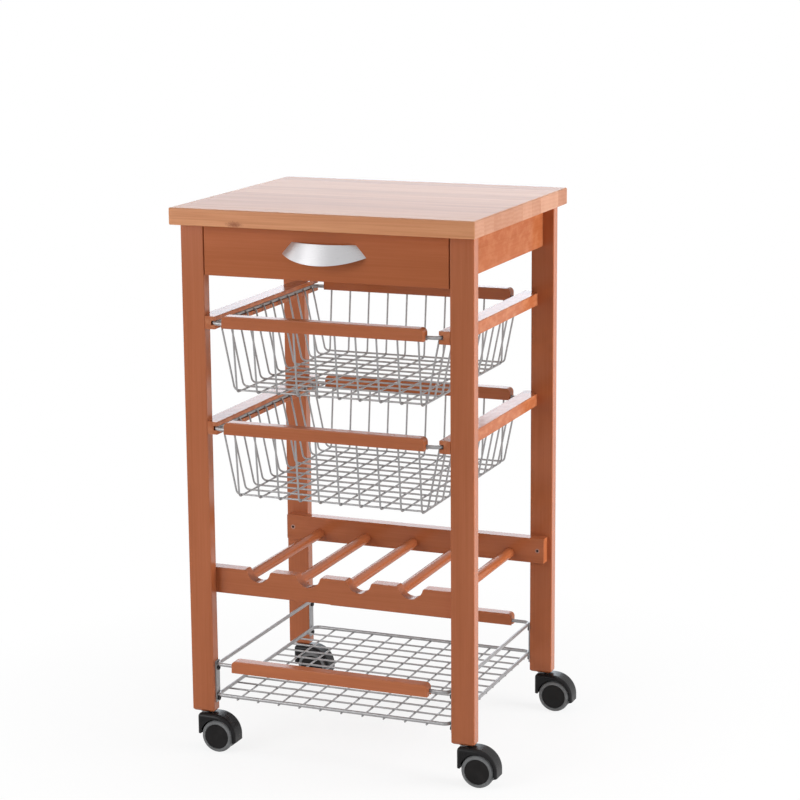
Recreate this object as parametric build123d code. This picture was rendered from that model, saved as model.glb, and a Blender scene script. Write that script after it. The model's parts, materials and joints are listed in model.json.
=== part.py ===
from build123d import *
import os

# A kitchen cart on casters: a worktop on four plank legs, a drawer, two sliding wire baskets,
# a bottle rack and a wire tray. Millimetres. X to the right, Y to the back, Z up from the floor.
# Every piece is made about the middle of the worktop. At the end the cart is set down so that
# the origin lies under the middle of its overall box.

# Worktop and legs
top_width = 470.0
top_depth = 410.0
top_thickness = 25.0
top_edge_radius = 2.0
side_overhang = 8.5
end_overhang = 20.0
leg_width = 36.0
leg_depth = 18.0
leg_edge_radius = 1.5
leg_foot_chamfer = 3.0

# Levels, stacked from the floor up
caster_height = 60.0
tray_rise = 28.0
guard_rise = 48.0
rack_rise = 108.0
rack_rail_height = 39.5
bottle_room = 207.5
basket_pitch = 157.0
rail_height = 19.0
drawer_rise = 73.0
apron_height = 61.0

# Aprons and the dowels inside the frame
apron_thickness = 18.5
dowel_radius = 3.0
dowel_half_length = 14.0
side_dowel_inset = 13.0
rear_dowel_inset = 25.0

# Drawer
drawer_side_gap = 1.2
drawer_top_gap = 2.0
drawer_front_height = 72.0
drawer_front_thickness = 18.0
drawer_wall = 12.0
drawer_play = 1.0
drawer_headroom = 6.0
drawer_rear_room = 27.0
drawer_edge_radius = 1.5
panel_thickness = 4.0
panel_height = 8.0
panel_groove = 5.0
runner_width = 13.0
runner_height = 11.5
runner_drop = 1.5
runner_front_gap = 2.0
runner_rear_gap = 7.0

# Bowed pull on the drawer front: a cone shell that the drawer front and a slanted plane cut off
pull_axis_depth = 88.0
pull_top_radius = 101.0
pull_lean = 0.48
pull_wall = 2.2
pull_top_drop = 17.0
pull_tip_drop = 17.5
pull_low_drop = 28.5
pull_boss_x = 42.0
pull_boss_drop = 9.0
pull_boss_radius = 4.0
pull_screw_bite = 4.0

# Grooved rails of the baskets
rail_outside = 10.5
rail_inside = 16.5
rail_edge_radius = 1.0
groove_depth = 6.5

# Wire baskets
rim_radius = 2.75
wire_radius = 1.4
weld_sink = 0.4
groove_play = 0.4
slide_play = 0.3
rim_inset_y = 4.5
basket_forward = 8.0
rim_corner = 10.0
basket_height = 102.0
basket_lean_x = 20.5
basket_lean_y = 11.0
hook_reach = 3.0
hook_bend = 4.0
floor_bend = 7.0
long_wire_count = 10
cross_wire_count = 12
long_wire_inset = 6.0
cross_wire_inset = 5.0

# Wooden bars on the wires
bar_end_gap = 17.5
bar_height = 18.5
bar_thickness = 18.0
basket_bar_sink = 4.6
tray_bar_sink = 6.9
bar_outset = 3.5
bar_top_corner = 7.0
bar_edge_radius = 1.2
bar_slot_play = 0.1

# Bottle rack
rack_rail_thickness = 18.0
rack_rail_end = 7.7
rack_edge_radius = 1.2
bottle_count = 4
bottle_pitch = 81.0
notch_radius = 19.5
notch_depth = 17.5
notch_shoulder = 4.0
rack_dowel_radius = 8.0
rack_dowel_rise = 13.0
rack_dowel_seat = 10.0

# Wire tray
strip_width = 12.0
strip_thickness = 2.0
strip_inset = 11.5
strip_low = 13.0
strip_high = 4.0
tray_wire_inset_y = 4.0
tray_corner = 10.0
nub_length = 3.2
grid_sink = 0.9
tray_long_count = 10
tray_cross_count = 11
tray_long_inset = 34.0
tray_cross_inset = 36.0

# Screws and fits
fit = 0.05
socket_depth = 2.0
socket_share = 0.55
rail_screw = dict(head_radius=3.5, head_height=3.0, shank_radius=2.0, length=24.0)
rack_screw = dict(head_radius=3.8, head_height=3.5, shank_radius=2.5, length=24.0)
strip_screw = dict(head_radius=3.6, head_height=2.6, shank_radius=2.0, length=14.0)
pull_screw = dict(head_radius=4.0, head_height=2.4, shank_radius=1.8, length=0.0)
strip_screw_low = 5.8
strip_screw_high = 53.5

# Casters
wheel_radius = 25.0
wheel_width = 11.5
tread_edge_radius = 5.0
hub_radius = 18.5
hub_recess = 1.0
hub_ring = 0.8
wheel_cap = 3.5
caster_trail = 24.0
web_thickness = 8.0
wheel_side_gap = 0.8
wheel_arch_gap = 1.5
axle_radius = 3.0
hood_front = 8.0
hood_top_gap = 1.4
hood_wall = 3.0
hood_front_foot = 2.0
hood_rear_foot = -8.0
hood_edge_radius = 6.0
hood_corner = 6.0
web_arm = 9.0
stem_radius = 5.0
stem_depth = 35.0
collar_radius = 8.0
collar_height = 0.9
pivot_radius = 4.0
pivot_length = 15.0
pivot_end_gap = 0.5
running_play = 0.05

# Places worked out from the sizes above
left, right = -1, 1
front, rear = -1, 1
leg_outer_x = top_width / 2 - side_overhang
leg_inner_x = leg_outer_x - leg_width
leg_outer_y = top_depth / 2 - end_overhang
leg_inner_y = leg_outer_y - leg_depth
leg_mid_x = (leg_outer_x + leg_inner_x) / 2
leg_mid_y = (leg_outer_y + leg_inner_y) / 2
tray_z = caster_height + tray_rise
guard_z = tray_z + guard_rise
rack_low_z = guard_z + rack_rise
rack_high_z = rack_low_z + rack_rail_height
lower_rail_z = rack_high_z + bottle_room
upper_rail_z = lower_rail_z + basket_pitch
apron_low_z = upper_rail_z + rail_height + drawer_rise
frame_top_z = apron_low_z + apron_height
apron_outer_x = leg_inner_x + apron_thickness
drawer_high_z = frame_top_z - drawer_top_gap
drawer_low_z = drawer_high_z - drawer_front_height
drawer_face_y = -leg_outer_y
drawer_back_y = drawer_face_y + drawer_front_thickness
runner_low_z = apron_low_z - runner_drop
runner_top_z = runner_low_z + runner_height
side_low_z = runner_top_z + slide_play
side_high_z = frame_top_z - drawer_headroom
side_outer_x = leg_inner_x - drawer_play
side_inner_x = side_outer_x - drawer_wall
drawer_end_y = leg_inner_y - drawer_rear_room
panel_z = side_low_z + panel_height
rail_inner_x = leg_inner_x - rail_inside
rail_outer_x = leg_inner_x + rail_outside
groove_x = rail_inner_x + groove_depth
groove_half = rim_radius + groove_play
rim_x = groove_x - rim_radius - 2 * groove_play
rim_y = leg_outer_y - rim_inset_y
hook_x = rail_inner_x - hook_reach
basket_floor_x = hook_x - basket_lean_x
basket_floor_y = rim_y - basket_lean_y
bar_half_length = rail_inner_x - bar_end_gap
rack_rail_half = leg_outer_x - rack_rail_end
rack_inner_y = leg_inner_y - rack_rail_thickness
strip_y = leg_outer_y - strip_inset
tray_x = leg_inner_x - strip_thickness - rim_radius + weld_sink
tray_y = leg_outer_y - tray_wire_inset_y
grid_z = tray_z - rim_radius - wire_radius + grid_sink
cross_z = grid_z + 2 * wire_radius - weld_sink
strip_face_x = leg_inner_x - strip_thickness


# Shapes that everything is made from

def span(side, near, far):
    """The low and high limits of a stretch from near to far on one side of the middle."""
    return tuple(sorted((side * near, side * far)))


def block(x, y, z):
    """A box from its low and high limit along each axis."""
    limits = (x, y, z)
    size = [high - low for low, high in limits]
    middle = [(high + low) / 2 for low, high in limits]
    return Pos(*middle) * Box(*size)


def rod(start, end, radius):
    """A round bar between two points."""
    run = Vector(*end) - Vector(*start)
    return extrude(Plane(origin=start, z_dir=run) * Circle(radius), run.length)


def along(path, radius):
    """A round wire along a path."""
    section = Plane(origin=path @ 0, z_dir=path % 0) * Circle(radius)
    return sweep(section, path=path)


def wire(points, bend, radius):
    """A round wire along straight runs that are joined by bends."""
    return along(FilletPolyline(*points, radius=bend), radius)


def loop(half_x, half_y, z, bend, radius):
    """A closed rectangle of wire with rounded corners, lying flat."""
    outline = Pos(0, 0, z) * RectangleRounded(2 * half_x, 2 * half_y, bend)
    return along(outline.face().outer_wire(), radius)


def spread(half, count):
    """Evenly spaced places from minus half to plus half."""
    step = 2 * half / (count - 1)
    return [step * index - half for index in range(count)]


def screw(seat, way, head_radius, head_height, shank_radius, length, play=0.0):
    """A screw whose head stands on seat and whose shank runs the way given. Play makes its hole."""
    seat = Vector(*seat)
    way = Vector(*way)
    top = seat - way * (head_height + play)
    tip = seat + way * (length + play)
    solid = rod(top, seat, head_radius + play) + rod(top, tip, shank_radius + play)
    if play:
        return solid
    socket = Plane(origin=top, z_dir=way) * RegularPolygon(head_radius * socket_share, 6)
    return solid - extrude(socket, socket_depth)


# Fasteners: each function gives the solid, or with play the hole for it

def side_dowel(side, end, z, play=0.0):
    """Dowel from a leg into the end of a side apron."""
    x = side * (leg_inner_x + apron_thickness / 2)
    reach = dowel_half_length + play
    inner = (x, end * (leg_inner_y - reach), z)
    outer = (x, end * (leg_inner_y + min(reach, leg_depth - dowel_radius)), z)
    return rod(inner, outer, dowel_radius + play)


def rear_dowel(side, z, play=0.0):
    """Dowel from a rear leg into the end of the rear apron."""
    reach = dowel_half_length + play
    inner = (side * (leg_inner_x - reach), leg_mid_y, z)
    outer = (side * (leg_inner_x + reach), leg_mid_y, z)
    return rod(inner, outer, dowel_radius + play)


def top_dowel(side, end, play=0.0):
    """Dowel that stands in the top of a leg and locates the worktop."""
    reach = dowel_half_length + play
    place = (side * leg_mid_x, end * leg_mid_y)
    return rod((*place, frame_top_z - reach), (*place, frame_top_z + reach), dowel_radius + play)


def rail_fixing(side, end, rail_z, play=0.0):
    """Screw in the groove of a basket rail, through the rail into the leg."""
    seat = (side * (groove_x + rail_screw["head_height"]), end * leg_mid_y, rail_z + rail_height / 2)
    return screw(seat, (side, 0, 0), **rail_screw, play=play)


def rack_fixing(side, end, play=0.0):
    """Screw from the inner face of a bottle rail into the leg that carries it."""
    x = side * leg_mid_x
    seat = (x, end * (rack_inner_y + rack_screw["head_height"]), (rack_low_z + rack_high_z) / 2)
    return screw(seat, (0, end, 0), **rack_screw, play=play)


def strip_fixing(side, end, rise, play=0.0):
    """Screw through a tray strip into the leg's inner face."""
    seat = (side * strip_face_x, end * strip_y, tray_z - strip_low + rise)
    return screw(seat, (side, 0, 0), **strip_screw, play=play)


def pull_fixing(side, play=0.0):
    """Screw from inside the drawer, through the drawer front into the pull."""
    seat = (side * pull_boss_x, drawer_back_y, pull_boss_z)
    size = dict(pull_screw, length=drawer_front_thickness + pull_screw_bite)
    return screw(seat, (0, -1, 0), **size, play=play)


corners = [(side, end) for side in (left, right) for end in (front, rear)]
side_dowel_levels = (apron_low_z + side_dowel_inset, frame_top_z - side_dowel_inset)
rear_dowel_levels = (apron_low_z + rear_dowel_inset, frame_top_z - rear_dowel_inset)
rail_levels = {"lower": lower_rail_z, "upper": upper_rail_z}
strip_screw_levels = (strip_screw_low, strip_screw_high)
pull_top_z = drawer_high_z - pull_top_drop
pull_low_z = pull_top_z - pull_low_drop
pull_boss_z = pull_top_z - pull_boss_drop
side_word = {left: "left", right: "right"}
end_word = {front: "front", rear: "rear"}


# Frame

def worktop():
    """Slab with eased edges and a blind hole over each leg."""
    half_x = top_width / 2
    half_y = top_depth / 2
    slab = block((-half_x, half_x), (-half_y, half_y), (frame_top_z, frame_top_z + top_thickness))
    slab = fillet(slab.edges(), top_edge_radius)
    for side, end in corners:
        slab -= top_dowel(side, end, fit)
    return slab


def leg(side, end):
    """Plank leg with eased corners, a chamfered foot and the holes of its joints."""
    x = span(side, leg_inner_x, leg_outer_x)
    y = span(end, leg_inner_y, leg_outer_y)
    plank = block(x, y, (caster_height, frame_top_z))
    plank = chamfer(plank.faces().sort_by(Axis.Z)[0].edges(), leg_foot_chamfer)
    plank = fillet(plank.edges().filter_by(Axis.Z), leg_edge_radius)
    plank -= stem(side, end, fit)
    plank -= top_dowel(side, end, fit)
    for z in side_dowel_levels:
        plank -= side_dowel(side, end, z, fit)
    if end == rear:
        for z in rear_dowel_levels:
            plank -= rear_dowel(side, z, fit)
    for rail_z in rail_levels.values():
        plank -= rail_fixing(side, end, rail_z, fit)
    plank -= rack_fixing(side, end, fit)
    for rise in strip_screw_levels:
        plank -= strip_fixing(side, end, rise, fit)
    return plank


def side_apron(side):
    """Panel under the worktop between a front and a rear leg."""
    x = span(side, leg_inner_x, apron_outer_x)
    panel = block(x, (-leg_inner_y, leg_inner_y), (apron_low_z, frame_top_z))
    for end in (front, rear):
        for z in side_dowel_levels:
            panel -= side_dowel(side, end, z, fit)
    return panel


def rear_apron():
    """Panel under the worktop between the rear legs."""
    x = (-leg_inner_x, leg_inner_x)
    panel = block(x, (leg_inner_y, leg_outer_y), (apron_low_z, frame_top_z))
    for side in (left, right):
        for z in rear_dowel_levels:
            panel -= rear_dowel(side, z, fit)
    return panel


def runner(side):
    """Strip on the inside of a side apron that the drawer slides on."""
    x = span(side, leg_inner_x - runner_width, leg_inner_x)
    y = (-leg_inner_y + runner_front_gap, leg_inner_y - runner_rear_gap)
    return block(x, y, (runner_low_z, runner_top_z))


def frame_dowels():
    """All hidden dowels of the frame."""
    pins = [top_dowel(side, end) for side, end in corners]
    pins += [side_dowel(side, end, z) for side, end in corners for z in side_dowel_levels]
    pins += [rear_dowel(side, z) for side in (left, right) for z in rear_dowel_levels]
    return Compound(pins)


# Drawer

def drawer_front():
    """Board between the front legs, grooved for the bottom panel."""
    half = leg_inner_x - drawer_side_gap
    board = block((-half, half), (drawer_face_y, drawer_back_y), (drawer_low_z, drawer_high_z))
    board = fillet(board.faces().sort_by(Axis.Y)[0].edges(), drawer_edge_radius)
    board -= panel(fit)
    for side in (left, right):
        board -= pull_fixing(side, fit)
    return board


def drawer_side(side):
    """Side board that runs on a runner."""
    x = span(side, side_inner_x, side_outer_x)
    board = block(x, (drawer_back_y, drawer_end_y), (side_low_z, side_high_z))
    return board - panel(fit)


def drawer_back():
    """Board between the drawer's sides, standing on the bottom panel."""
    y = (drawer_end_y - drawer_wall, drawer_end_y)
    low_z = panel_z + panel_thickness + fit
    return block((-side_inner_x, side_inner_x), y, (low_z, side_high_z))


def panel(play=0.0):
    """Bottom panel of the drawer, or with play the groove that holds it."""
    half = side_inner_x + panel_groove + play
    y = (drawer_back_y - panel_groove - play, drawer_end_y)
    return block((-half, half), y, (panel_z - play, panel_z + panel_thickness + play))


def pull_radius(z):
    """Outer radius of the pull's cone at a height."""
    return pull_top_radius + pull_lean * (pull_top_z - z)


def pull():
    """Bowed crescent pull with a boss behind each end for its screw."""
    tip_z = pull_top_z - pull_tip_drop
    axis_y = drawer_face_y + pull_axis_depth
    outer = [(pull_radius(z), z) for z in (pull_low_z, pull_top_z)]
    inner = [(radius - pull_wall, z) for radius, z in reversed(outer)]
    profile = Plane.XZ * make_face(Polyline(*outer, *inner, close=True))
    shell = Pos(0, axis_y, 0) * revolve(profile, Axis.Z)
    middle_z = (pull_low_z + pull_top_z) / 2
    cone = Pos(0, axis_y, middle_z) * Cone(pull_radius(pull_low_z), pull_top_radius, pull_low_drop)
    reach = pull_radius(pull_low_z) - pull_axis_depth
    bow = 2 * reach
    for side in (left, right):
        place = (side * pull_boss_x, drawer_face_y, pull_boss_z)
        tip = (side * pull_boss_x, drawer_face_y - bow, pull_boss_z)
        shell += rod(place, tip, pull_boss_radius) & cone
    # what is kept lies in front of the drawer and above the slanted lower edge
    half = pull_top_radius
    slope = (pull_low_z - tip_z) / reach
    outline = [
        (drawer_face_y, tip_z),
        (drawer_face_y, pull_top_z),
        (drawer_face_y - bow, pull_top_z),
        (drawer_face_y - bow, tip_z + slope * bow),
    ]
    keep = extrude(Plane.YZ * make_face(Polyline(*outline, close=True)), half, both=True)
    shell = shell & keep
    for side in (left, right):
        shell -= pull_fixing(side, fit)
    return shell


# Basket rails and baskets

def basket_rail(side, rail_z):
    """Grooved rail, lapped on the legs' inner faces and notched to sit between the legs."""
    x = span(side, rail_inner_x, rail_outer_x)
    rail = block(x, (-leg_outer_y, leg_outer_y), (rail_z, rail_z + rail_height))
    rail = fillet(rail.edges().filter_by(Axis.Y), rail_edge_radius)
    middle = rail_z + rail_height / 2
    groove_reach = span(side, rail_inner_x - groove_depth, groove_x)
    whole = (-2 * leg_outer_y, 2 * leg_outer_y)
    rail -= block(groove_reach, whole, (middle - groove_half, middle + groove_half))
    for end in (front, rear):
        notch_x = span(side, leg_inner_x, rail_outer_x + rail_outside)
        notch_y = span(end, leg_inner_y, leg_outer_y + leg_depth)
        rail -= block(notch_x, notch_y, (rail_z - rail_height, rail_z + 2 * rail_height))
        rail -= rail_fixing(side, end, rail_z, fit)
    return rail


def rim_height(rail_z):
    """Height of a basket's rim wire, lying in the grooves of its rails."""
    return rail_z + rail_height / 2 - groove_half + slide_play + rim_radius


def basket_wires():
    """Welded basket about its rim: the thick rim, and thin wires bent into the walls and the floor."""
    rim_z = 0
    floor_z = rim_z - basket_height
    upper_z = floor_z + 2 * wire_radius - weld_sink
    pieces = [loop(rim_x, rim_y, rim_z, rim_corner, rim_radius)]
    for x in spread(basket_floor_x - long_wire_inset, long_wire_count):
        points = [
            (x, -rim_y, rim_z),
            (x, -basket_floor_y, floor_z),
            (x, basket_floor_y, floor_z),
            (x, rim_y, rim_z),
        ]
        pieces.append(wire(points, floor_bend, wire_radius))
    for y in spread(basket_floor_y - cross_wire_inset, cross_wire_count):
        half = [(rim_x, rim_z), (hook_x, rim_z), (basket_floor_x, upper_z)]
        points = [(-x, y, z) for x, z in half] + [(x, y, z) for x, z in reversed(half)]
        bends = [hook_bend, floor_bend, floor_bend, hook_bend]
        pieces.append(wire(points, bends, wire_radius))
    return pieces[0].fuse(*pieces[1:])


def bar(sink):
    """Front bar about the thick wire that it sits on, sunk below the wire, with a slot from below."""
    low_z = -sink
    face = Pos(0, low_z + bar_height / 2) * Rectangle(2 * bar_half_length, bar_height)
    high = face.vertices().group_by(Axis.Y)[-1]
    face = fillet(high, bar_top_corner)
    body = Pos(0, -bar_outset, 0) * extrude(Plane.XZ * face, bar_thickness / 2, both=True)
    sides = body.faces().sort_by(Axis.Y)
    body = fillet(sides[0].edges() + sides[-1].edges(), bar_edge_radius)
    slot_half = rim_radius + bar_slot_play
    whole = (-2 * bar_half_length, 2 * bar_half_length)
    return body - block(whole, (-slot_half, slot_half), (low_z - bar_height, slot_half))


# Bottle rack

def rack_rail(end):
    """Rail across the legs, the front one notched for the bottles' necks."""
    height = rack_rail_height
    face = Pos(0, rack_low_z + height / 2) * Rectangle(2 * rack_rail_half, height)
    if end == front:
        centre_z = rack_high_z - notch_depth + notch_radius
        half_span = bottle_pitch * (bottle_count - 1) / 2
        for x in spread(half_span, bottle_count):
            face -= Pos(x, centre_z) * Circle(notch_radius)
        top = face.vertices().group_by(Axis.Y)[-1].sort_by(Axis.X)
        face = fillet(top[1:-1], notch_shoulder)
    body = extrude(Plane.XZ * face, -rack_rail_thickness)
    outer_edges = body.edges().filter_by(Axis.X).group_by(Axis.Z)[0]
    body = fillet(outer_edges, rack_edge_radius)
    y = rack_inner_y if end == rear else -leg_inner_y
    body = Pos(0, y, 0) * body
    for x in rack_dowel_places():
        body -= rack_dowel(x, fit)
    for side in (left, right):
        body -= rack_fixing(side, end, fit)
    return body


def rack_dowel_places():
    """The dowels lie between the bottles and outside the first and last."""
    return spread(bottle_pitch * bottle_count / 2, bottle_count + 1)


def rack_dowel(x, play=0.0):
    """Round dowel between the two rails, let into both."""
    z = rack_low_z + rack_dowel_rise
    reach = rack_inner_y + rack_dowel_seat + play
    return rod((x, -reach, z), (x, reach, z), rack_dowel_radius + play)


# Wire tray

def tray_wires():
    """Welded tray: frame and guard wires, a thin grid and the strips that carry them."""
    pieces = [
        loop(tray_x, tray_y, tray_z, tray_corner, rim_radius),
        loop(tray_x, tray_y, guard_z, tray_corner, rim_radius),
    ]
    reach_y = tray_y + nub_length
    reach_x = tray_x + nub_length
    for x in spread(tray_x - tray_long_inset, tray_long_count):
        pieces.append(rod((x, -reach_y, grid_z), (x, reach_y, grid_z), wire_radius))
    for y in spread(tray_y - tray_cross_inset, tray_cross_count):
        pieces.append(rod((-reach_x, y, cross_z), (reach_x, y, cross_z), wire_radius))
    for side, end in corners:
        x = span(side, strip_face_x, leg_inner_x)
        y = (end * strip_y - strip_width / 2, end * strip_y + strip_width / 2)
        strip = block(x, y, (tray_z - strip_low, guard_z + strip_high))
        for rise in strip_screw_levels:
            strip -= strip_fixing(side, end, rise, fit)
        pieces.append(strip)
    return pieces[0].fuse(*pieces[1:])


# Casters

wheel_z = wheel_radius
hood_half = web_thickness / 2 + wheel_side_gap + wheel_width
arch_radius = wheel_radius + wheel_arch_gap
hood_top_z = caster_height - hood_top_gap
hood_rear = arch_radius + hood_wall
hood_bow = hood_top_z - wheel_z


def at_corner(side, end, piece):
    """Puts a caster piece, made around its stem, under its leg."""
    return Pos(side * leg_mid_x, end * leg_mid_y, 0) * piece


def stem(side, end, play=0.0):
    """Steel stem in the foot of a leg, with a collar and the pivot of the hood."""
    low_z = caster_height - collar_height
    pin = rod((0, 0, low_z), (0, 0, caster_height + stem_depth + play), stem_radius + play)
    if not play:
        pin += rod((0, 0, low_z), (0, 0, caster_height), collar_radius)
        pin += rod((0, 0, low_z - pivot_length), (0, 0, low_z), pivot_radius)
    return at_corner(side, end, pin)


def hood():
    """Moulded hood over both wheels, with a web between them that holds the axle."""
    front_x = -hood_front
    wheel_x = caster_trail
    rear_x = wheel_x + hood_rear
    crown_x = rear_x - hood_bow
    outline = [
        Line((front_x, wheel_z + hood_front_foot), (front_x, hood_top_z)),
        Line((front_x, hood_top_z), (crown_x, hood_top_z)),
        CenterArc((crown_x, wheel_z), hood_bow, 0, 90),
        Line((rear_x, wheel_z), (rear_x, wheel_z + hood_rear_foot)),
        Line((rear_x, wheel_z + hood_rear_foot), (wheel_x, wheel_z + hood_rear_foot)),
        Line((wheel_x, wheel_z + hood_rear_foot), (wheel_x, wheel_z + hood_front_foot)),
        Line((wheel_x, wheel_z + hood_front_foot), (front_x, wheel_z + hood_front_foot)),
    ]
    side_view = make_face(outline)
    crown = side_view.vertices().sort_by_distance((front_x, hood_top_z))[0]
    side_view = fillet(crown, hood_corner)
    shell = extrude(Plane.XZ * side_view, hood_half, both=True)
    faces = shell.faces().sort_by(Axis.Y)
    outer_edges = [
        edge for face in (faces[0], faces[-1]) for edge in face.edges()
        if edge.center().Z > wheel_z + hood_front_foot + fit
    ]
    shell = fillet(outer_edges, hood_edge_radius)
    for way in (front, rear):
        inner = (wheel_x, way * web_thickness / 2, wheel_z)
        outer = (wheel_x, way * 2 * hood_half, wheel_z)
        shell -= rod(inner, outer, arch_radius)
    web_foot = rod((wheel_x, -web_thickness / 2, wheel_z), (wheel_x, web_thickness / 2, wheel_z), web_arm)
    shell += web_foot
    pivot_low = caster_height - collar_height - pivot_length - pivot_end_gap
    shell -= rod((0, 0, pivot_low), (0, 0, caster_height), pivot_radius + running_play)
    return shell - axle(fit)


def axle(play=0.0):
    """Axle pin that the two wheels share."""
    half = web_thickness / 2 + wheel_side_gap + wheel_width - wheel_cap - pivot_end_gap
    return rod((caster_trail, -half, wheel_z), (caster_trail, half, wheel_z), axle_radius + play)


def wheel(way):
    """Wheel with a soft tread around a sunk hub disc, on one side of the web."""
    tread_in = hub_radius + hub_ring
    bore = axle_radius + running_play
    profile = [
        (bore, 0),
        (wheel_radius, 0),
        (wheel_radius, wheel_width),
        (tread_in, wheel_width),
        (tread_in, wheel_width - 2 * hub_recess),
        (hub_radius, wheel_width - 2 * hub_recess),
        (hub_radius, wheel_width - hub_recess),
        (0, wheel_width - hub_recess),
        (0, wheel_width - wheel_cap),
        (bore, wheel_width - wheel_cap),
    ]
    face = make_face(Polyline(*profile, close=True))
    rims = face.vertices().group_by(Axis.X)[-1]
    face = fillet(rims, tread_edge_radius)
    disc = revolve(Plane.XZ * face, Axis.Z)
    inner_y = way * (web_thickness / 2 + wheel_side_gap)
    return Location((caster_trail, inner_y, wheel_z), (-90 * way, 0, 0)) * disc


# The list of nodes

basket = basket_wires()
facing = {front: Rot(0, 0, 0), rear: Rot(0, 0, 180)}
basket_bar = bar(basket_bar_sink)
tray_bar = bar(tray_bar_sink)
caster_pieces = {
    "hood": hood(),
    "axle": axle(),
    "wheel_near": wheel(front),
    "wheel_far": wheel(rear),
}
nodes = {
    "worktop": worktop(),
    "rear_apron": rear_apron(),
    "frame_dowels": frame_dowels(),
    "drawer_front": drawer_front(),
    "drawer_back": drawer_back(),
    "drawer_bottom": panel(),
    "drawer_pull": pull(),
    "pull_screws": Compound([pull_fixing(side) for side in (left, right)]),
    "rack_rail_front": rack_rail(front),
    "rack_rail_rear": rack_rail(rear),
    "rack_dowels": Compound([rack_dowel(x) for x in rack_dowel_places()]),
    "rack_screws": Compound([rack_fixing(side, end) for side, end in corners]),
    "tray_wires": tray_wires(),
    "tray_screws": Compound([
        strip_fixing(side, end, rise) for side, end in corners for rise in strip_screw_levels
    ]),
    "rail_screws": Compound([
        rail_fixing(side, end, rail_z) for side, end in corners for rail_z in rail_levels.values()
    ]),
}
for side in (left, right):
    word = side_word[side]
    nodes[f"side_apron_{word}"] = side_apron(side)
    nodes[f"drawer_runner_{word}"] = runner(side)
    nodes[f"drawer_side_{word}"] = drawer_side(side)
for level, rail_z in rail_levels.items():
    rim_z = rim_height(rail_z)
    nodes[f"basket_{level}_wires"] = Pos(0, -basket_forward, rim_z) * basket
    for side in (left, right):
        nodes[f"basket_{level}_rail_{side_word[side]}"] = basket_rail(side, rail_z)
    for end in (front, rear):
        place = Pos(0, end * rim_y - basket_forward, rim_z)
        nodes[f"basket_{level}_bar_{end_word[end]}"] = place * facing[end] * basket_bar
for end in (front, rear):
    nodes[f"tray_bar_{end_word[end]}"] = Pos(0, end * tray_y, guard_z) * facing[end] * tray_bar
for side, end in corners:
    word = f"{end_word[end]}_{side_word[side]}"
    nodes[f"leg_{word}"] = leg(side, end)
    nodes[f"caster_stem_{word}"] = stem(side, end)
    for piece_word, piece in caster_pieces.items():
        nodes[f"caster_{piece_word}_{word}"] = at_corner(side, end, piece)

# The casters trail to the right and the pull stands out at the front
caster_reach = leg_mid_x + caster_trail + hood_rear
pull_reach = leg_outer_y + pull_radius(pull_low_z) - pull_axis_depth
set_down = Pos((top_width / 2 - caster_reach) / 2, (pull_reach - top_depth / 2) / 2, 0)

os.makedirs("parts", exist_ok=True)
for name, piece in nodes.items():
    solid = set_down * piece
    solid.label = name
    export_step(solid, f"parts/{name}.step")
print(len(nodes), "nodes")
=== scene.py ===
import json
import math

import bpy
from mathutils import Matrix, Vector


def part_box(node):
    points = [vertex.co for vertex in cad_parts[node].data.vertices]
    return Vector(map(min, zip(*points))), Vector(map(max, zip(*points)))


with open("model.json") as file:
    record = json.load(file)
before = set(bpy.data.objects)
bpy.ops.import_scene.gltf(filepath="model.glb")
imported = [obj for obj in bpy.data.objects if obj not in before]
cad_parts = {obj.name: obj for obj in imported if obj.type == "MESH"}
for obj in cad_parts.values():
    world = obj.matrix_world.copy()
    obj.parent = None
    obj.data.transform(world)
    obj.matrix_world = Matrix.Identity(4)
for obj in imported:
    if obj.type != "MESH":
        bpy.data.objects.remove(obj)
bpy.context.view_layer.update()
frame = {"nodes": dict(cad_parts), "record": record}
nodes = frame["nodes"]
slot_of = {part["node"]: part["material_slot"] for part in frame["record"]["subparts"]}
scene = bpy.context.scene


def linear(red, green, blue):
    """A display colour of 0 to 255 as the linear colour that shaders take."""
    def channel(value):
        share = value / 255
        if share <= 0.04045:
            return share / 12.92
        return ((share + 0.055) / 1.055) ** 2.4
    return (channel(red), channel(green), channel(blue), 1.0)


# Camera: the photograph's viewing angle for a square image, in pixels, degrees and metres
image_side = 800
focal_pixels = 2354.6
sensor_side = 36.0
camera_azimuth = 21.97
camera_elevation = 12.02
camera_roll = -0.42
camera_distance = 3.537
camera_target = Vector((0.02664, 0.00334, 0.52175))

# Sizes of the finishes, in metres
stave_width = 0.041
knot_place = (-0.1435, -0.2017, 0.8055)
knot_size = (0.015, 0.012, 0.0055)
wheel_hub_radius = 0.0189
rack_head_radius = 0.0038
rack_socket_radius = 0.0021
grain_depth = 0.00008
metal_mark_depth = 0.00002

# Wood grain: marks per metre along and across it
board_bands = (2.2, 38)
board_streaks = (7, 420)
board_pores = (60, 1500)
# Light tan patches of painted sheen, so many per metre along and across the grain
board_sheen_patches = (45, 90)
top_bands = (2.5, 60)
top_streaks = (8, 500)
top_pores = (70, 1300)
end_blotches = 40
end_rings = 55
knot_speckle = 900
plastic_smudges = 60

# How far the grain is moved from one board or stave to the next, so that no two look alike
board_shift = (1.37, 2.11, 0.73)
stave_shift_along = 7.0
stave_shift_up = 3.0
first_stain_seed = 1
first_plain_seed = 40

# Noise: how rough it is, the range of nearly all its values, and the few high ones that make pores
noise_roughness = 0.55
most_noise = (0.3, 0.7)
high_noise = (0.62, 0.72)

# Shares of the relief that shows
wood_relief = 0.6
metal_relief = 0.5
plastic_relief = 0.6

# Roughness, and shares of the clear lacquer that shows
stain_gloss = 0.30
plain_gloss = 0.5
top_lacquer = 0.5
board_lacquer = 0.45
panel_lacquer = 0.2
leg_side_lacquer = 1.0
worktop_lacquer = 0.28
board_lacquer_roughness = 0.18
worktop_lacquer_roughness = 0.2

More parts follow.
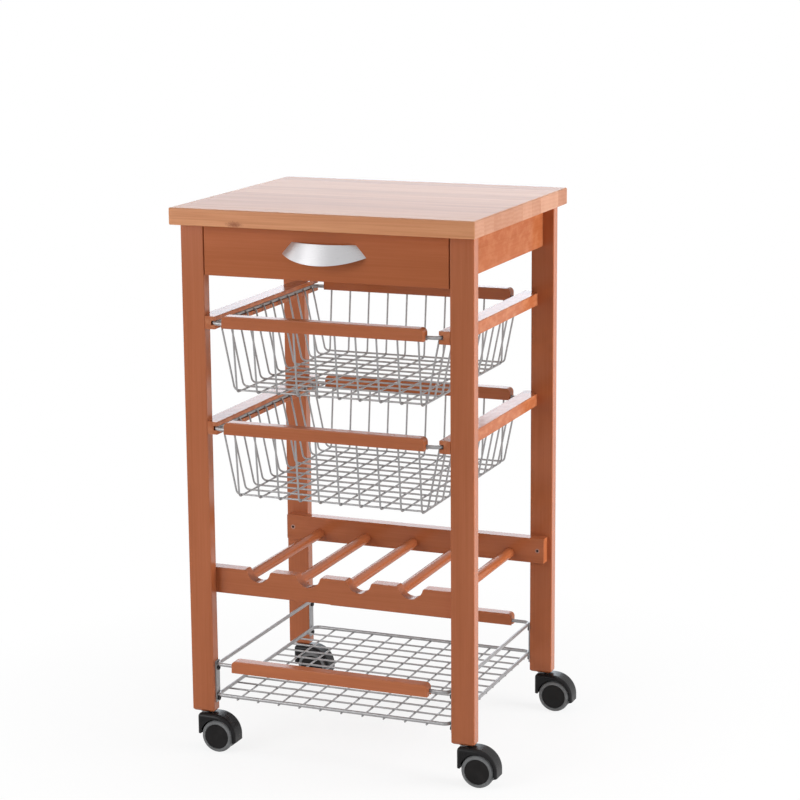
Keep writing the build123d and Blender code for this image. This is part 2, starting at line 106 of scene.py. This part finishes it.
# Colours
stain = linear(161, 90, 54), linear(167, 95, 59), linear(173, 100, 64)
# A lighter copy of the stain for the tray bars: painted light from the floor's bounce
painted_lit_stain = linear(170, 97, 60), linear(177, 103, 65), linear(184, 109, 70)
# A darker copy of the stain for the side aprons: painted shade under the worktop's overhang
painted_shade_stain = linear(153, 85, 50), linear(160, 91, 56), linear(167, 97, 62)
bare_wood = linear(190, 150, 108), linear(214, 178, 136), linear(228, 196, 158)
beech = linear(182, 120, 82), linear(200, 138, 98), linear(212, 152, 112)
end_dark = linear(166, 116, 91)
end_light = linear(187, 140, 115)
# A light tan for patches of painted sheen on the aprons and basket rails
sheen_tan = linear(190, 128, 92)
knot_brown = linear(124, 68, 46)
wire_grey = linear(160, 159, 160)
pull_grey = linear(190, 189, 191)
steel_grey = linear(176, 176, 178)
# Dark steel; it also paints the shade in the rack screws' sockets
dark_steel = linear(38, 36, 36)
# Brown on the rack screw heads: painted reflection of the wood around them
painted_wood_reflection_brown = linear(166, 124, 110)
hood_black = linear(20, 19, 20)
hub_black = linear(20, 18, 18)
tread_grey = linear(104, 105, 106)
floor_white = linear(250, 250, 250)

# Boards that differ from the rest, by the start of their names; some carry painted light: a darker stain
# as painted shade on the side aprons, a lighter stain as painted light on the tray bars, and painted sheen
# on the aprons and basket rails
own_looks = {
    # side aprons: the darker copy of the stain, painted shade
    "side_apron": {"tones": painted_shade_stain, "lacquer": panel_lacquer, "painted_sheen": 0.3},
    "rear_apron": {"lacquer": panel_lacquer, "painted_sheen": 0.3},
    "drawer_front": {"lacquer": panel_lacquer},
    "basket_upper_rail": {"painted_sheen": 0.6},
    "basket_lower_rail": {"painted_sheen": 0.6},
    # tray bars: the lighter copy of the stain, painted light
    "tray_bar": {"tones": painted_lit_stain},
    "leg": {"side_lacquer": leg_side_lacquer},
}

# Stage: the floor turns white at this distance, and keeps this share of its shadow under the cart
floor_half = 6.0
white_end = 0.80
shadow_share = 0.25
ambient_strength = 0.22
background_strength = 1.0

# Lamps: place, width and height in metres, power in watts
cart_middle = (0, 0, 0.45)
lamps = {
    "right_soft": {"place": (2.4, 0.2, 1.0), "width": 1.6, "height": 1.6, "power": 66, "mirrored": False},
    "left_soft": {"place": (-2.3, -0.5, 1.0), "width": 1.2, "height": 1.4, "power": 9},
    "front_soft": {"place": (-1.3, -1.9, 1.2), "width": 1.4, "height": 1.4, "power": 27},
    "top_soft": {"place": (0.2, -0.2, 2.8), "width": 2.0, "height": 2.0, "power": 11},
    "back_panel": {
        "place": (-1.1, 3.2, 1.1), "aim": (-1.1, 0, 1.1), "width": 2.2, "height": 0.8, "power": 23,
        "colour": (0.80, 0.90, 1.0),
    },
}


# Helpers for shader nodes

class Shader:
    """A material's node tree, with short calls to add and join nodes."""

    def __init__(self, name):
        self.material = bpy.data.materials.new(name)
        self.material.use_nodes = True
        self.tree = self.material.node_tree
        self.surface = self.tree.nodes["Principled BSDF"]

    def add(self, kind, **settings):
        node = self.tree.nodes.new(kind)
        for key, value in settings.items():
            setattr(node, key, value)
        return node

    def join(self, source, target):
        self.tree.links.new(source, target)

    def feed(self, shaded_socket, value):
        """A constant or another node's output into a socket."""
        if isinstance(value, (int, float, tuple)):
            shaded_socket.default_value = value
        else:
            self.join(value, shaded_socket)

    def place(self):
        """The point on the piece, in metres."""
        return self.add("ShaderNodeTexCoord").outputs["Object"]

    def normal(self):
        """The three parts of the direction that a face looks in."""
        return self.split(self.add("ShaderNodeNewGeometry").outputs["Normal"])

    def split(self, vector):
        node = self.add("ShaderNodeSeparateXYZ")
        self.join(vector, node.inputs[0])
        return node.outputs

    def combine(self, x, y, z):
        node = self.add("ShaderNodeCombineXYZ")
        for shaded_socket, value in zip(node.inputs, (x, y, z)):
            self.feed(shaded_socket, value)
        return node.outputs[0]

    def length(self, vector):
        node = self.add("ShaderNodeVectorMath", operation="LENGTH")
        self.join(vector, node.inputs[0])
        return node.outputs["Value"]

    def scaled(self, vector, scale, offset=(0, 0, 0)):
        mapping = self.add("ShaderNodeMapping")
        mapping.inputs["Scale"].default_value = scale
        mapping.inputs["Location"].default_value = offset
        self.join(vector, mapping.inputs["Vector"])
        return mapping.outputs["Vector"]

    def noise(self, vector, detail, distortion=0.0):
        noise = self.add("ShaderNodeTexNoise")
        noise.inputs["Scale"].default_value = 1.0
        noise.inputs["Detail"].default_value = detail
        noise.inputs["Roughness"].default_value = noise_roughness
        noise.inputs["Distortion"].default_value = distortion
        self.join(vector, noise.inputs["Vector"])
        return noise.outputs["Fac"]

    def math(self, operation, *values):
        node = self.add("ShaderNodeMath", operation=operation)
        for shaded_socket, value in zip(node.inputs, values):
            self.feed(shaded_socket, value)
        return node.outputs[0]

    def weighted(self, first, share, second):
        """A blend of two textures, with a share of the first."""
        return self.math("MULTIPLY_ADD", first, share, self.math("MULTIPLY", second, 1 - share))

    def between(self, value, limits, to_low, to_high):
        """Maps a range of values to another, held at its ends."""
        node = self.add("ShaderNodeMapRange")
        node.inputs["From Min"].default_value, node.inputs["From Max"].default_value = limits
        node.inputs["To Min"].default_value = to_low
        node.inputs["To Max"].default_value = to_high
        self.join(value, node.inputs["Value"])
        return node.outputs["Result"]

    def ramp(self, value, *stops):
        """Colours at places from 0 to 1."""
        ramp = self.add("ShaderNodeValToRGB")
        elements = ramp.color_ramp.elements
        while len(elements) < len(stops):
            elements.new(0.5)
        for element, (position, colour) in zip(elements, stops):
            element.position = position
            element.color = colour
        self.join(value, ramp.inputs["Fac"])
        return ramp.outputs["Color"]

    def mix(self, share, first, second):
        node = self.add("ShaderNodeMix", data_type="RGBA")
        for index, value in ((0, share), (6, first), (7, second)):
            self.feed(node.inputs[index], value)
        return node.outputs[2]

    def colour(self, colour):
        self.join(colour, self.surface.inputs["Base Color"])

    def roughness(self, texture, at_low, at_high):
        """Roughness that follows a texture."""
        self.join(self.between(texture, most_noise, at_low, at_high), self.surface.inputs["Roughness"])

    def bump(self, height, distance, strength):
        node = self.add("ShaderNodeBump")
        node.inputs["Strength"].default_value = strength
        node.inputs["Distance"].default_value = distance
        self.join(height, node.inputs["Height"])
        self.join(node.outputs["Normal"], self.surface.inputs["Normal"])

    def set(self, **values):
        """Constants on the shader's own sockets."""
        for name, value in values.items():
            self.surface.inputs[name.replace("_", " ")].default_value = value


# Materials

def grain(shader, place, along, marks, detail, offset=(0, 0, 0), distortion=0.0):
    """Noise that is stretched along one axis."""
    marks_along, marks_across = marks
    scale = tuple(marks_along if axis == along else marks_across for axis in "XYZ")
    return shader.noise(shader.scaled(place, scale, offset), detail, distortion)


def raise_grain(shader, streaks, pores):
    """The fine relief of planed wood."""
    shader.bump(shader.math("MULTIPLY_ADD", pores, 0.5, streaks), grain_depth, wood_relief)


def wood(
    name, along, seed, tones=stain, gloss=stain_gloss, lacquer=board_lacquer, painted_sheen=0.0, side_lacquer=0.0,
):
    """Lacquered wood with its grain along one axis; upper faces and narrow sides may shine more, and
    painted sheen can add light tan patches.
    """
    shader = Shader(name)
    place = shader.place()
    offset = tuple(seed * shift for shift in board_shift)
    bands = grain(shader, place, along, board_bands, 4, offset, 0.6)
    streaks = grain(shader, place, along, board_streaks, 3, offset)
    pores = grain(shader, place, along, board_pores, 1, offset)
    dark, mid, light = tones
    blend = shader.weighted(streaks, 0.45, bands)
    colour = shader.ramp(blend, (0.36, dark), (0.50, mid), (0.66, light))
    colour = shader.mix(shader.between(pores, high_noise, 0.0, 0.35), colour, dark)
    # Painted sheen: light tan patches mixed over the stain
    if painted_sheen:
        sheen_patches = grain(shader, place, along, board_sheen_patches, 4)
        colour = shader.mix(shader.between(sheen_patches, (0.45, 0.68), 0.0, painted_sheen), colour, sheen_tan)
    shader.colour(colour)
    shader.roughness(streaks, gloss + 0.08, gloss)
    raise_grain(shader, streaks, pores)
    facing = (0.4, 0.9)
    normal_x, _, normal_z = shader.normal()
    coat = shader.between(normal_z, facing, lacquer, top_lacquer)
    if side_lacquer:
        side = shader.between(shader.math("ABSOLUTE", normal_x), facing, 0.0, side_lacquer)
        coat = shader.math("MAXIMUM", coat, side)
    shader.join(coat, shader.surface.inputs["Coat Weight"])
    shader.set(Coat_Roughness=board_lacquer_roughness, Specular_IOR_Level=0.0)
    return shader.material


def knot(shader, place):
    """The share of a small dark knot on the front edge."""
    scale = [1 / size for size in knot_size]
    offset = [-at / size for at, size in zip(knot_place, knot_size)]
    distance = shader.length(shader.scaled(place, scale, offset))
    speckle = shader.noise(shader.scaled(place, (knot_speckle,) * 3), 3)
    ragged = shader.math("MULTIPLY_ADD", speckle, 1.6, shader.math("SUBTRACT", distance, 0.8))
    return shader.between(ragged, (0.1, 1.0), 0.85, 0.0)


def long_grain(shader, moved, tone):
    """The colour of the staves' long faces, with the streaks and pores that make it."""
    dark, mid, light = beech
    bands = grain(shader, moved, "X", top_bands, 4, distortion=0.8)
    streaks = grain(shader, moved, "X", top_streaks, 3)
    pores = grain(shader, moved, "X", top_pores, 1)
    blend = shader.weighted(streaks, 0.4, bands)
    toned = shader.math("ADD", blend, shader.between(tone, (0.0, 1.0), -0.10, 0.10))
    colour = shader.ramp(toned, (0.32, dark), (0.50, mid), (0.68, light))
    colour = shader.mix(shader.between(pores, high_noise, 0.0, 0.3), colour, dark)
    return colour, streaks, pores


def end_grain(shader, place, stave, tone):
    """Growth rings and blotches on the sawn ends of the staves."""
    _, y, z = shader.split(place)
    across = shader.math("MULTIPLY_ADD", stave, -stave_width, y)
    height = shader.math("MULTIPLY_ADD", tone, 0.05, z)
    rings = shader.add("ShaderNodeTexWave", wave_type="RINGS", rings_direction="X")
    rings.inputs["Scale"].default_value = end_rings
    rings.inputs["Distortion"].default_value = 2.5
    rings.inputs["Detail"].default_value = 2
    shader.join(shader.combine(0.0, across, height), rings.inputs["Vector"])
    blotches = shader.noise(shader.scaled(place, (end_blotches,) * 3), 4)
    blend = shader.math("MULTIPLY_ADD", rings.outputs["Fac"], 0.12, shader.math("MULTIPLY", blotches, 0.5))
    toned = shader.math("MULTIPLY_ADD", tone, 0.45, blend)
    return shader.ramp(toned, (0.25, end_dark), (0.75, end_light))


def worktop_wood():
    """Edge-glued staves along X, each with its own tone, and end grain on the two ends."""
    shader = Shader("worktop_beech")
    place = shader.place()
    x, y, z = shader.split(place)
    stave_count = shader.math("DIVIDE", y, stave_width)
    stave = shader.math("FLOOR", stave_count)
    random = shader.add("ShaderNodeTexWhiteNoise", noise_dimensions="1D")
    shader.join(stave, random.inputs["W"])
    tone = random.outputs["Value"]
    own_x = shader.math("MULTIPLY_ADD", tone, stave_shift_along, x)
    own_z = shader.math("MULTIPLY_ADD", tone, stave_shift_up, z)
    colour, streaks, pores = long_grain(shader, shader.combine(own_x, y, own_z), tone)
    at_end = shader.math("GREATER_THAN", shader.math("ABSOLUTE", shader.normal()[0]), 0.7)
    colour = shader.mix(at_end, colour, end_grain(shader, place, stave, tone))
    from_middle = shader.math("ABSOLUTE", shader.math("SUBTRACT", shader.math("FRACT", stave_count), 0.5))
    seam = shader.between(from_middle, (0.485, 0.5), 0.0, 0.35)
    colour = shader.mix(seam, colour, beech[0])
    colour = shader.mix(knot(shader, place), colour, knot_brown)
    shader.colour(colour)
    shader.roughness(streaks, 0.42, 0.32)
    raise_grain(shader, streaks, pores)
    shader.set(Coat_Weight=worktop_lacquer, Coat_Roughness=worktop_lacquer_roughness)
    shader.set(Specular_IOR_Level=0.0)
    return shader.material


def metal(name, colour, roughness, marks, shade=0.12, metallic=1.0):
    """Metal whose roughness and tone vary in fine marks, so many per metre along X, Y and Z."""
    shader = Shader(name)
    texture = shader.noise(shader.scaled(shader.place(), marks), 3)
    darker = tuple(channel * (1 - shade) for channel in colour[:3]) + (1.0,)
    shader.colour(shader.ramp(texture, (most_noise[0], darker), (most_noise[1], colour)))
    shader.roughness(texture, roughness + 0.06, roughness - 0.04)
    shader.bump(texture, metal_mark_depth, metal_relief)
    shader.set(Metallic=metallic)
    return shader.material


def plastic(name, colour, roughness, grain_size, depth):
    """Moulded plastic or rubber with a fine grain and faint smudges."""
    shader = Shader(name)
    place = shader.place()
    fine = shader.noise(shader.scaled(place, (1 / grain_size,) * 3), 2)
    smudge = shader.noise(shader.scaled(place, (plastic_smudges,) * 3), 4)
    lighter = tuple(min(1.0, channel * 1.35 + 0.004) for channel in colour[:3]) + (1.0,)
    shader.colour(shader.ramp(smudge, (0.35, colour), (0.75, lighter)))
    shader.roughness(smudge, roughness - 0.05, roughness + 0.08)
    shader.bump(fine, depth, plastic_relief)
    shader.set(Specular_IOR_Level=0.15)
    return shader.material


# Finishes on the nodes

def dress(name, *materials):
    slots = nodes[name].data.materials
    slots.clear()
    for material in materials:
        slots.append(material)


def in_slots(*slots):
    """The nodes that take their finish from these slots, in order."""
    return sorted(name for name in nodes if slot_of[name] in slots)


def long_axis(name):
    low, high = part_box(name)
    size = [high[axis] - low[axis] for axis in range(3)]
    return "XYZ"[size.index(max(size))]


def dress_wood():
    """Every board has its own grain, along its own length."""
    for seed, name in enumerate(in_slots("stained_wood"), first_stain_seed):
        along = "Y" if name == "rack_dowels" else long_axis(name)
        look = {}
        for start, own in own_looks.items():
            if name.startswith(start):
                look = own
        # A board's look may darken its stain (painted shade), lighten it (painted light) or add painted
        # sheen
        dress(name, wood(name + "_stain", along, seed, **look))
    for seed, name in enumerate(in_slots("plain_wood", "panel_board"), first_plain_seed):
        material = wood(name + "_plain", long_axis(name), seed, bare_wood, plain_gloss, panel_lacquer)
        dress(name, material)
    dress("worktop", worktop_wood())


def dress_metal():
    finishes = {
        "wire_metal": metal("wire_satin", wire_grey, 0.34, (300, 300, 300), metallic=0.4),
        "pull_metal": metal("pull_satin", pull_grey, 0.30, (40, 40, 2500), 0.06),
        "screw_steel": metal("plain_steel", steel_grey, 0.28, (500, 500, 500)),
        "dark_steel": metal("dark_steel", dark_steel, 0.4, (500, 500, 500), 0.3, 0.8),
    }
    for slot, material in finishes.items():
        for name in in_slots(slot):
            dress(name, material)
    # The rack screw heads' brown is a painted reflection of the wood
    wood_reflection_steel = metal("steel_with_painted_wood_reflection", painted_wood_reflection_brown, 0.34, (500, 500, 500))
    dress_rack_screws(wood_reflection_steel, finishes["dark_steel"])


def dress_rack_screws(reflecting_head, shaded_socket):
    """Heads in a brown that paints the wood's reflection, and sockets in dark steel that paints the shade
    in their recesses.
    """
    dress("rack_screws", reflecting_head, shaded_socket)
    low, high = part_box("rack_screws")
    axes_x = (low[0] + rack_head_radius, high[0] - rack_head_radius)
    axis_z = (low[2] + high[2]) / 2
    # Faces inside the socket radius take dark steel: painted shade in the socket's recess
    for face in nodes["rack_screws"].data.polygons:
        reach = min(math.hypot(face.center[0] - axis_x, face.center[2] - axis_z) for axis_x in axes_x)
        face.material_index = 1 if reach < rack_socket_radius else 0


def dress_casters():
    """Black hoods, and wheels with a grey tread around a black disc."""
    hood = plastic("hood_gloss", hood_black, 0.28, 0.0012, 0.00003)
    hub = plastic("hub_gloss", hub_black, 0.32, 0.0015, 0.00003)
    tread = plastic("tread_rubber", tread_grey, 0.55, 0.0008, 0.00005)
    for name in in_slots("hood_plastic"):
        dress(name, hood)
    for name in in_slots("wheel_plastic"):
        dress(name, hub, tread)
        low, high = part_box(name)
        axle_x = (low[0] + high[0]) / 2
        axle_z = (low[2] + high[2]) / 2
        for face in nodes[name].data.polygons:
            reach = math.hypot(face.center[0] - axle_x, face.center[2] - axle_z)
            face.material_index = 1 if reach > wheel_hub_radius else 0


# Stage: a white floor that keeps the shadow and fades into a white background

def shows_white(tree):
    """1 for what the camera, a reflection or a clear piece sees, 0 for light on the object."""
    path = tree.nodes.new("ShaderNodeLightPath")
    seen = path.outputs["Is Camera Ray"]
    for ray in ("Is Glossy Ray", "Is Transmission Ray"):
        either = tree.nodes.new("ShaderNodeMath")
        either.operation = "MAXIMUM"
        tree.links.new(seen, either.inputs[0])
        tree.links.new(path.outputs[ray], either.inputs[1])
        seen = either.outputs[0]
    return seen


def make_floor():
    half = floor_half
    corners = [(-half, -half, 0), (half, -half, 0), (half, half, 0), (-half, half, 0)]
    mesh = bpy.data.meshes.new("floor")
    mesh.from_pydata(corners, [], [(0, 1, 2, 3)])
    floor = bpy.data.objects.new("floor", mesh)
    scene.collection.objects.link(floor)
    shader = Shader("floor_white")
    shader.set(Base_Color=floor_white, Roughness=0.9)
    fade = shader.between(shader.length(shader.place()), (0.0, white_end), 1 - shadow_share, 1.0)
    share = shader.math("MULTIPLY", fade, shows_white(shader.tree))
    glow = shader.add("ShaderNodeEmission")
    both = shader.add("ShaderNodeMixShader")
    shader.join(share, both.inputs[0])
    shader.join(shader.surface.outputs[0], both.inputs[1])
    shader.join(glow.outputs[0], both.inputs[2])
    output = shader.tree.nodes["Material Output"]
    shader.join(both.outputs[0], output.inputs["Surface"])
    mesh.materials.append(shader.material)


def make_world():
    world = bpy.data.worlds.new("studio")
    scene.world = world
    world.use_nodes = True
    tree = world.node_tree
    background = tree.nodes["Background"]
    background.inputs["Color"].default_value = (1, 1, 1, 1)
    strength = tree.nodes.new("ShaderNodeMapRange")
    strength.inputs["To Min"].default_value = ambient_strength
    strength.inputs["To Max"].default_value = background_strength
    tree.links.new(shows_white(tree), strength.inputs["Value"])
    tree.links.new(strength.outputs["Result"], background.inputs["Strength"])


def make_lamp(name, place, width, height, power, aim=cart_middle, colour=(1.0, 1.0, 1.0), mirrored=True):
    """A soft area lamp; one that is not mirrored leaves no glare on lacquer."""
    data = bpy.data.lights.new(name, "AREA")
    data.shape = "RECTANGLE"
    data.size = width
    data.size_y = height
    data.energy = power
    data.color = colour
    lamp = bpy.data.objects.new(name, data)
    lamp.location = place
    lamp.rotation_euler = (Vector(aim) - Vector(place)).to_track_quat("-Z", "Y").to_euler()
    lamp.visible_camera = False
    lamp.visible_glossy = mirrored
    scene.collection.objects.link(lamp)


def make_camera():
    azimuth = math.radians(camera_azimuth)
    elevation = math.radians(camera_elevation)
    roll = math.radians(camera_roll)
    back = Vector((
        math.sin(azimuth) * math.cos(elevation),
        -math.cos(azimuth) * math.cos(elevation),
        math.sin(elevation),
    ))
    level_right = Vector((math.cos(azimuth), math.sin(azimuth), 0))
    level_up = back.cross(level_right)
    right = level_right * math.cos(roll) + level_up * math.sin(roll)
    up = level_up * math.cos(roll) - level_right * math.sin(roll)
    data = bpy.data.cameras.new("camera")
    data.sensor_fit = "AUTO"
    data.sensor_width = sensor_side
    data.lens = focal_pixels / image_side * sensor_side
    camera = bpy.data.objects.new("camera", data)
    turn = Matrix((right, up, back)).transposed().to_4x4()
    camera.matrix_world = Matrix.Translation(camera_target + back * camera_distance) @ turn
    scene.collection.objects.link(camera)
    scene.camera = camera


dress_wood()
dress_metal()
dress_casters()
make_floor()
make_world()
for lamp_name, settings in lamps.items():
    make_lamp(lamp_name, **settings)
make_camera()
scene.view_settings.view_transform = "Standard"
